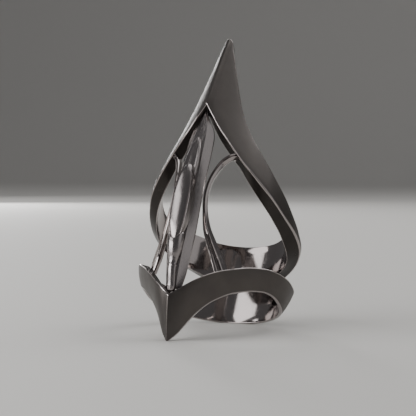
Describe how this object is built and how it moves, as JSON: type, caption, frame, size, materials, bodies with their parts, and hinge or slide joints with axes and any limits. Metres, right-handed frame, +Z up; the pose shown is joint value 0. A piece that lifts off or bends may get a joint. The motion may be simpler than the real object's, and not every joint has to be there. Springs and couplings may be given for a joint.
{
  "type": "scepter ring",
  "caption": "Long split-shank finger ring with a tall pointed hood, a lower point and a polished scepter between them.",
  "frame": {"origin": "centre of the resting ring's box, on the surface that it stands on", "axes": "+Z up, -Y towards the ring's front, +X to its right; the finger axis leans back by 24 degrees"},
  "size_m": [0.0208, 0.0274, 0.0382],
  "materials": {
    "satin_metal": "darkened silver with a fine satin-blasted outside and a polished inside",
    "polished_metal": "mirror-polished darkened silver"
  },
  "bodies": {
    "root": {"band": "satin_metal", "scepter": "polished_metal"}
  },
  "joints": []
}
